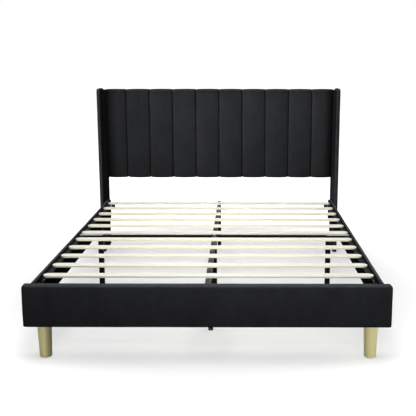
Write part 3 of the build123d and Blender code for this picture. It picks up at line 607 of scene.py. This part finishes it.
def black_steel(name="black_steel", gloss=0.0):
    """Powder-coated steel: fine orange peel, dust in patches and paler worn edges.

    With gloss, it is smoother and has a painted reflection on top, in pale speckles.
    """
    made = Finish(name, Specular_IOR_Level=0.05 + gloss)
    dust = made.noise(9, detail=4, rough=0.6, distortion=0.5)
    base = made.mix(made.share(dust, 0.4, 0.75), (0.0018, 0.0022, 0.0025), (0.0050, 0.0058, 0.0062))
    base = made.mix(made.edge(0.0012), base, (0.016, 0.017, 0.018))
    if gloss:
        top_glint_specks = made.noise(70, detail=4, rough=0.75, distortion=1.2, stretch=(1, 0.5, 1))
        painted_top_glint = made.mix(made.share(top_glint_specks, 0.40, 0.68), base, (0.052, 0.052, 0.044))
        # Painted reflection on upward faces
        base = made.mix(made.between(made.facing("Z"), 0.6, 0.9), base, painted_top_glint)
    made.colour(base)
    made.roughness(made.ramp(dust, (0.35, 0.52 - gloss), (0.75, 0.66 - gloss)))
    made.bump(made.noise(650, detail=2), 0.0003, 0.35)
    return made.material


def zinc_steel():
    """Zinc-plated steel with a faint blue spangle and rubbed streaks."""
    made = Finish("zinc_steel", Metallic=0.85)
    spangle = made.share(made.cells(160), 0.0, 0.7)
    rubbed = made.noise(300, rough=0.6, stretch=(0.08, 1, 1))
    base = made.mix(spangle, (0.38, 0.44, 0.45), (0.50, 0.55, 0.56))
    made.colour(made.mix(made.share(rubbed, 0.45, 0.8, most=0.6), base, (0.30, 0.35, 0.36)))
    made.roughness(made.ramp(rubbed, (0.3, 0.30), (0.8, 0.48)))
    made.bump(rubbed, 0.0002, 0.4)
    return made.material


def black_plastic():
    """Moulded black plastic with a fine spark-eroded texture."""
    made = Finish("black_plastic", Specular_IOR_Level=0.4)
    scuffs = made.noise(60, detail=4, rough=0.7, distortion=1.0)
    scuffed = made.share(scuffs, 0.45, 0.8)
    made.colour(made.mix(scuffed, (0.012, 0.012, 0.013), (0.032, 0.032, 0.033)))
    made.roughness(made.ramp(scuffs, (0.3, 0.48), (0.8, 0.62)))
    made.bump(made.noise(1100, detail=2, rough=0.6), 0.0003, 0.4)
    return made.material


def make_finishes():
    """The material of every slot in the record, and those of single pieces."""
    return {
        # Lit and shaded copies of one velvet: tone, painted top sheen or shade and painted shadows
        # follow each piece's light; the left wing is painted lighter than the right.
        "velvet": velvet("velvet", 0.0176, 2.6, foot_shadows),
        "velvet_rail": velvet("velvet_rail", 0.0165, 4.0, rail_shadows),
        "velvet_pad": velvet("velvet_pad", 0.0266, 0.8, pad_shadows),
        "velvet_left_wing": velvet("velvet_left_wing", 0.0365, 0.9, wing_shadows, 0.09),
        "velvet_right_wing": velvet("velvet_right_wing", 0.0256, 0.9, wing_shadows, 0.24),
        "backing_cloth": backing_cloth(),
        "plywood": plywood(),
        "timber": wood("timber", TIMBER, ALONG_X),
        "slat_wood": wood("slat_wood", SLAT, ALONG_X, sides=SLAT_SIDE_LIGHT),
        "lit_and_shaded_leg_wood": wood("lit_and_shaded_leg_wood", LIT_AND_SHADED_LEG, ALONG_Z, shaded=True),
        "leg_wood": wood("leg_wood", LEG, ALONG_Z),
        "black_steel": black_steel(),
        "black_steel_beam": black_steel("black_steel_beam", BEAM_GLOSS),
        "zinc_steel": zinc_steel(),
        "black_plastic": black_plastic(),
    }


def finish_nodes(finishes):
    """Gives every CAD node the material of its slot, and a few nodes one of their own."""
    for node in nodes.values():
        for entry in node.material_slots:
            entry.material = finishes[entry.material.name.split(".")[0]]
    for name in ("front_beam", "rear_beam"):
        nodes[name].material_slots[0].material = finishes["black_steel_beam"]
    # The left front leg gets its lit copy of the wood, with painted shade on its right
    nodes["left_front_leg"].material_slots[0].material = finishes["lit_and_shaded_leg_wood"]


# Meshes

def new_piece(name, points, quads, finish, body="frame"):
    """Smooth-shaded mesh object made of points and quads."""
    mesh = bpy.data.meshes.new(name)
    mesh.from_pydata([tuple(p) for p in points], [], [tuple(q) for q in quads])
    mesh.polygons.foreach_set("use_smooth", [True] * len(mesh.polygons))
    mesh.materials.append(finish)
    mesh.update()
    piece = bpy.data.objects.new(name, mesh)
    bpy.context.scene.collection.objects.link(piece)
    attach(piece, body)
    return piece


def stations(low, high, step, low_round=0.0, high_round=0.0):
    """Places along a side, closer together where its ends are rounded."""
    parts = [np.array([low])]
    start, end = low + low_round, high - high_round
    if low_round:
        parts.append(np.linspace(low, start, ROUND_LINES)[1:])
    parts.append(np.linspace(start, end, max(2, round((end - start) / step) + 1))[1:])
    if high_round:
        parts.append(np.linspace(end, high, ROUND_LINES)[1:])
    return np.concatenate(parts)


def box_shell(xs, ys, zs):
    """Points and outward quads of a box whose sides are divided at the given places."""
    sides = (xs, ys, zs)
    index = {}
    quads = []

    def number(where):
        return index.setdefault(tuple(where), len(index))

    for axis in range(3):
        across, along = (axis + 1) % 3, (axis + 2) % 3
        for end in (0, len(sides[axis]) - 1):
            for p in range(len(sides[across]) - 1):
                for q in range(len(sides[along]) - 1):
                    corners = []
                    for dp, dq in ((0, 0), (1, 0), (1, 1), (0, 1)):
                        where = [0, 0, 0]
                        where[axis], where[across], where[along] = end, p + dp, q + dq
                        corners.append(number(where))
                    quads.append(corners if end else corners[::-1])
    points = np.array([[sides[i][w] for i, w in enumerate(where)] for where in index])
    return points, quads


def rounded(points, low_rounds, high_rounds):
    """A box's points moved onto rounded edges and corners, one radius for each side."""
    low_rounds, high_rounds = np.array(low_rounds), np.array(high_rounds)
    low, high = points.min(0), points.max(0)
    core = np.clip(points, low + low_rounds, high - high_rounds)
    out = points - core
    share = np.abs(out) / np.maximum(np.where(out < 0, low_rounds, high_rounds), TINY)
    length = np.linalg.norm(share, axis=1)
    factor = np.where(length > 0, share.max(1) / np.maximum(length, TINY), 1)
    return core + out * factor[:, None]


def rounded_box(low, high, steps, low_rounds, high_rounds):
    """Points and outward quads of a box with rounded edges, divided about a step apart."""
    places = [stations(*side) for side in zip(low, high, steps, low_rounds, high_rounds)]
    points, quads = box_shell(*places)
    return rounded(points, low_rounds, high_rounds), quads


def ridge(distance, width):
    """1 at no distance, fading to nothing over about two widths."""
    return np.exp(-((distance / width) ** 2))


def lumpy(points, size, seed):
    """Small smooth unevenness, the same on each run."""
    waves = np.random.default_rng(seed)
    total = np.zeros(len(points))
    for wavelength, share in LUMPS:
        for _ in range(LUMP_WAVES):
            turn = waves.normal(size=3)
            turn *= 2 * math.pi / wavelength / np.linalg.norm(turn)
            start = waves.uniform(0, 2 * math.pi)
            total += share * np.sin(points @ turn + start) / LUMP_WAVES
    return size * total


def coordinates(mesh):
    """A mesh's points as an array."""
    flat = np.empty(len(mesh.vertices) * 3, np.float32)
    mesh.vertices.foreach_get("co", flat)
    return flat.reshape(-1, 3).astype(float)


def normals(mesh):
    """A mesh's point normals as an array."""
    flat = np.empty(len(mesh.vertices) * 3, np.float32)
    mesh.vertex_normals.foreach_get("vector", flat)
    return flat.reshape(-1, 3).astype(float)


def raise_points(piece, points, distance):
    """Gives a piece new points, each moved outward from its surface by a distance of its own."""
    placed = points + normals(piece.data) * distance[:, None]
    piece.data.vertices.foreach_set("co", placed.astype(np.float32).ravel())
    piece.data.update()


# Padded pieces. A point within about a millimetre of a face counts as lying on it.

def swell(piece, held, cap):
    """Fills a cover with pressure as cloth. Held points stay, and none rises more than the cap."""
    scene = bpy.context.scene
    start = coordinates(piece.data)
    group = piece.vertex_groups.new(name="held")
    group.add(np.flatnonzero(held).tolist(), 1.0, "REPLACE")
    cloth = piece.modifiers.new("cloth", "CLOTH")
    settings = cloth.settings
    settings.quality = 4
    settings.mass = 0.25
    settings.tension_stiffness = 60
    settings.compression_stiffness = 60
    settings.shear_stiffness = 25
    settings.bending_stiffness = 2.0
    settings.shrink_min = -SLACK
    settings.use_pressure = True
    settings.uniform_pressure_force = PRESSURE
    settings.effector_weights.gravity = 0
    settings.vertex_group_mass = "held"
    cloth.collision_settings.use_collision = False
    cloth.point_cache.frame_start = 1
    cloth.point_cache.frame_end = FRAMES
    for number in range(1, FRAMES + 1):
        scene.frame_set(number)
    done = piece.evaluated_get(bpy.context.evaluated_depsgraph_get())
    moved = ((coordinates(done.data) - start) * normals(piece.data)).sum(1)
    piece.modifiers.remove(cloth)
    piece.vertex_groups.remove(group)
    scene.frame_set(1)
    moved = np.clip(moved, -DEEPEST_HOLLOW * moved.max(), None)
    moved *= min(1.0, cap / max(float(moved.max()), TINY))
    raise_points(piece, start, moved)


def stuffed(name, shell, finish, free, lumps, seed, cap):
    """A cover that is uneven and filled out where it is free, and held elsewhere."""
    points, quads = shell
    piece = new_piece(name, points, quads, finish)
    raise_points(piece, points, free * lumpy(points, lumps, seed))
    swell(piece, ~free, cap)
    return piece


def finish_pad(piece, node):
    """One subdivision, and the piece takes the place of its CAD node, which is hidden."""
    smooth = piece.modifiers.new("subdivision", "SUBSURF")
    smooth.levels = smooth.render_levels = 1
    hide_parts(node)


def channel_stations():
    """Places across the pad, closer together beside each seam."""
    margin = SEAM_LINES[-1]
    places = []
    for left, right in zip(SEAMS, SEAMS[1:]):
        middle = np.linspace(margin, right - left - margin, CHANNEL_LINES)[1:-1]
        places += [left + SEAM_LINES, left + middle, right - SEAM_LINES[:0:-1]]
    return np.concatenate(places + [np.array([PAD_HALF])])


def from_seam(x):
    """Distance from the nearest seam, and place in the channel, 0 in its middle and 1 at seams."""
    index = np.clip(np.searchsorted(SEAMS, x, side="right") - 1, 0, CHANNELS - 1)
    half = (SEAMS[index + 1] - SEAMS[index]) / 2
    across = np.clip(np.abs(x - SEAMS[index] - half) / half, 0, 1)
    return (1 - across) * half, across


def headboard_pad(finish):
    """Channelled pad, full between its seams, which run over its top and bottom edges."""
    crease = PAD_HIGH - CREASE_BELOW_TOP
    ys = stations(PAD_SEAM_Y, PAD_BACK_Y, step=0.009, low_round=PAD_ROLL)
    zs = stations(PAD_LOW, PAD_HIGH, step=0.0105, low_round=PAD_ROLL, high_round=PAD_ROLL)
    off_crease = np.abs(zs - crease) > CREASE_CLEAR
    zs = np.sort(np.concatenate([zs[off_crease], crease + CREASE_LINES]))
    points, quads = box_shell(channel_stations(), ys, zs)
    points = rounded(points, (PAD_EDGE, PAD_ROLL, PAD_ROLL), (PAD_EDGE, PAD_EDGE, PAD_ROLL))

    x, y, z = points.T
    distance, across = from_seam(x)
    full = np.sqrt(np.clip(1 - across ** FULLNESS, 0, 1))
    bulge = ROUND_SHARE * (1 - across ** 2) + FULL_SHARE * full
    depth = PAD_BACK_Y - PAD_SEAM_Y
    y = PAD_BACK_Y - (PAD_BACK_Y - y) * (1 + PAD_CROWN * bulge / depth)
    middle, half = (PAD_LOW + PAD_HIGH) / 2, (PAD_HIGH - PAD_LOW) / 2
    z = middle + (z - middle) * (1 + PAD_SCALLOP * bulge / half)
    points = np.column_stack([x, y, z])
    off_seam = distance > SEAM_HOLD
    free = off_seam & (y < PAD_BACK_Y - 0.002) & (np.abs(x) < PAD_HALF - 0.001)
    piece = stuffed("headboard_channels", (points, quads), finish, free,
                    lumps=0.0011, seed=3, cap=0.0022)

    points = coordinates(piece.data)
    inner = np.abs(points[:, 0]) < PAD_HALF - 0.02
    waver = sum(size * np.sin(z * up + x * aside) for size, up, aside in GROOVE_WAVER)
    groove = GROOVE_DEPTH * ridge(distance + waver * off_seam, GROOVE_WIDTH)
    groove *= inner & (y < PAD_BACK_Y - 0.012)
    creased = CREASE_DEPTH * ridge(z - crease, CREASE_WIDTH) * (y < PAD_SEAM_Y + 0.004)
    raise_points(piece, points, -(groove + creased))
    finish_pad(piece, "headboard_channel_pad")


def footboard_pad(finish):
    """Footboard cover: crowned face, rolled top, rounded ends, flat back and bottom."""
    low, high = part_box("footboard_cover")
    points, quads = rounded_box(
        (low.x, low.y + FOOT_CROWN, low.z), (high.x, high.y, high.z + FOOT_RISE),
        steps=(0.0085, 0.006, 0.0075),
        low_rounds=(FOOT_END, FOOT_ROLL, FOOT_HEM), high_rounds=(FOOT_END, FOOT_ROLL, FOOT_ROLL))
    x, y, z = points.T
    height = np.clip((z - low.z) / (high.z - low.z), 0, 1)
    front = np.clip((high.y - y) / (high.y - low.y), 0, 1)
    y = y - FOOT_CROWN * (1 - (2 * height - 1) ** 2) * front
    points = np.column_stack([x, y, z])
    free = (y < high.y - 0.0005) & (z > low.z + 0.001)
    piece = stuffed("footboard_padding", (points, quads), finish, free,
                    lumps=0.0008, seed=5, cap=0.0015)

    points = coordinates(piece.data)
    across, down = high.x - np.abs(points[:, 0]), high.z - points[:, 2]
    corner = np.clip(1 - np.hypot(across, down) / FOLD_REACH, 0, 1)
    fold = ridge(across * FOLD_SLANT - down, FOLD_WIDTH) * corner * (points[:, 1] < high.y - 0.012)
    raise_points(piece, points, -FOLD_DEPTH * fold)
    finish_pad(piece, "footboard_cover")


def rail_pad(side, finish, seed):
    """Thin cover of a side rail, tight on its board."""
    node = side + "_rail_cover"
    low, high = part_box(node)
    wing_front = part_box(side + "_wing_cover")[0].y
    points, quads = rounded_box(
        low, high, steps=(0.006, 0.009, 0.0075),
        low_rounds=(RAIL_EDGE, 0.0, RAIL_HEM), high_rounds=(RAIL_EDGE, RAIL_HEAD, RAIL_EDGE))
    x, y, z = points.T
    inner = np.abs(x) < min(abs(low.x), abs(high.x)) + 0.0005
    free = ~inner & (y > low.y + 0.002) & (y < wing_front - RAIL_WING_GAP) & (z > low.z + 0.001)
    piece = stuffed(side + "_rail_padding", (points, quads), finish, free,
                    lumps=0.0005, seed=seed, cap=0.0010)
    finish_pad(piece, node)


def wing_shell(low, high):
    """Points and quads of a wing with rolled front and top, and a step down behind its corner."""
    edge, corner = WING_EDGE, WING_CORNER
    edge_lines = np.array([low.x + WING_EDGE_LINE, high.x - WING_EDGE_LINE])
    xs = stations(low.x, high.x, step=0.003, low_round=edge, high_round=edge)
    xs = np.sort(np.concatenate([xs, edge_lines]))
    ys = stations(low.y, high.y, step=0.0075, low_round=corner)
    zs = stations(low.z, high.z, step=0.0085, high_round=corner)
    points, quads = box_shell(xs, ys, zs)
    x, y, z = points.T
    front, top = ys[0], zs[-1]

    # The edges that run along the front and the top are rolled over both faces.
    middle, half = (low.x + high.x) / 2, (high.x - low.x) / 2
    from_front, from_top = y - front, top - z
    u = np.clip(edge - np.minimum(from_front, from_top), 0, edge)
    v = np.clip(np.abs(x - middle) - (half - edge), 0, edge)
    length = np.hypot(u, v)
    factor = np.where(length > 0, np.maximum(u, v) / np.maximum(length, TINY), 1)
    x = np.where(v > 0, middle + np.sign(x - middle) * (half - edge + v * factor), x)
    shift = u - u * factor

    # Front and top meet in a round corner.
    dy, dz = front + corner - y, z - (top - corner)
    both = (dy > 0) & (dz > 0)
    ring = np.maximum(np.maximum(dy, dz), TINY)
    scale = np.where(both, (ring - shift) / ring, 1)
    radial = np.where(both, ring / np.maximum(np.hypot(dy, dz), TINY), 1)
    flat_y = np.where(from_front <= from_top, y + shift, y)
    flat_z = np.where(from_front > from_top, z - shift, z)
    y = np.where(both, front + corner - dy * scale * radial, flat_y)
    z = np.where(both, top - corner + dz * scale * radial, flat_z)

    # Behind that corner the top steps softly down.
    slope = np.clip((y - low.y - WING_STEP_START) / WING_STEP_RUN, 0, 1)
    slope = slope * slope * (3 - 2 * slope)
    z = low.z + (z - low.z) * (1 - WING_STEP * slope / (high.z - low.z))
    return np.column_stack([x, y, z]), quads


def wing_pad(side, finish, seed):
    """Padded cover of a wing, pleated at its front corner."""
    node = side + "_wing_cover"
    low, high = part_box(node)
    points, quads = wing_shell(low, high)
    x, y, z = points.T
    inner = np.abs(np.abs(x) - min(abs(low.x), abs(high.x))) < 0.0012
    held = inner & ((y > WING_PANEL_Y) | (z < WING_RAIL_Z))
    held = held | (y > high.y - 0.001) | (z < low.z + 0.001)
    piece = stuffed(side + "_wing_padding", (points, quads), finish, ~held,
                    lumps=0.0006, seed=seed, cap=0.0015)

    points = coordinates(piece.data)
    x, y, z = points.T
    middle = (low.x + high.x) / 2
    from_corner = np.hypot(y - low.y - PLEAT_INSET, z - high.z + PLEAT_INSET)
    pleats = sum(share * ridge(x - middle - shift, PLEAT_WIDTH) for shift, share in PLEATS)
    raise_points(piece, points, -PLEAT_DEPTH * ridge(from_corner, PLEAT_REACH) * pleats)
    finish_pad(piece, node)


def back_panel(finish, seed):
    """Cloth stretched over the back of the headboard, a little hollow inside its rim."""
    low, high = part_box("headboard_back_cover")
    columns, rows = 150, 60
    xs = np.linspace(low.x, high.x, columns)
    zs = np.linspace(low.z, high.z, rows)
    grid = np.array([(x, 0, z) for z in zs for x in xs])
    x, z = grid[:, 0], grid[:, 2]
    across = np.minimum(x - low.x, high.x - x)
    up = np.minimum(z - low.z, high.z - z)
    inside = np.clip(np.minimum(across, up) / BACK_RIM, 0, 1)
    lumps = lumpy(grid, size=0.0007, seed=seed)
    y = high.y - BACK_INSET - BACK_HOLLOW * inside + lumps * inside
    points = np.column_stack([x, y, z])
    starts = [row * columns + column for row in range(rows - 1) for column in range(columns - 1)]
    quads = [(n + 1, n, n + columns, n + columns + 1) for n in starts]
    piece = new_piece("back_cloth", points, quads, finish)
    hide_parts("headboard_back_cover")


make_camera()
make_world()
make_floor()
for lamp in LAMPS:
    area_lamp(*lamp)

finishes = make_finishes()
finish_nodes(finishes)

headboard_pad(finishes["velvet_pad"])
footboard_pad(finishes["velvet"])
for side, rail_seed, wing_seed in (("left", 7, 11), ("right", 8, 12)):
    rail_pad(side, finishes["velvet_rail"], rail_seed)
    wing_pad(side, finishes[f"velvet_{side}_wing"], wing_seed)
back_panel(finishes["backing_cloth"], 21)
